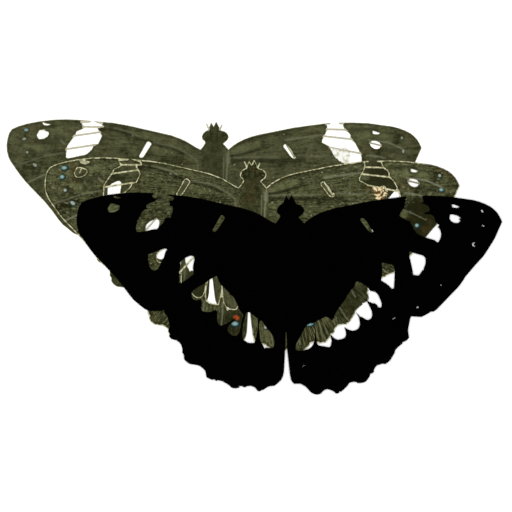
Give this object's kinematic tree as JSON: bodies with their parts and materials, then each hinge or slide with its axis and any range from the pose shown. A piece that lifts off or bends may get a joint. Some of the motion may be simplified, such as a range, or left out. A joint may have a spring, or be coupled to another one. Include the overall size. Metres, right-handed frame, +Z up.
{
  "type": "layered butterfly cut-out",
  "caption": "Flat sheets of card, each cut to a spread butterfly with see-through wing marks, glued in a diagonal stagger; two are printed olive brown and the front one is black.",
  "frame": {"origin": "centre of the whole stack's box, on its underside", "axes": "+X along the wingspans, towards the right wing tips; +Y towards the heads; +Z up out of the black front sheet's face"},
  "size_m": [0.0992, 0.055, 0.003],
  "materials": {
    "muted_print": "matt printed card, muted olive brown",
    "strong_print": "matt printed card, olive brown with a cream cut edge",
    "black_card": "plain matt black card"
  },
  "bodies": {
    "root": {"rear_printed_sheet": "muted_print", "middle_printed_sheet": "strong_print", "front_black_sheet": "black_card"}
  },
  "joints": []
}
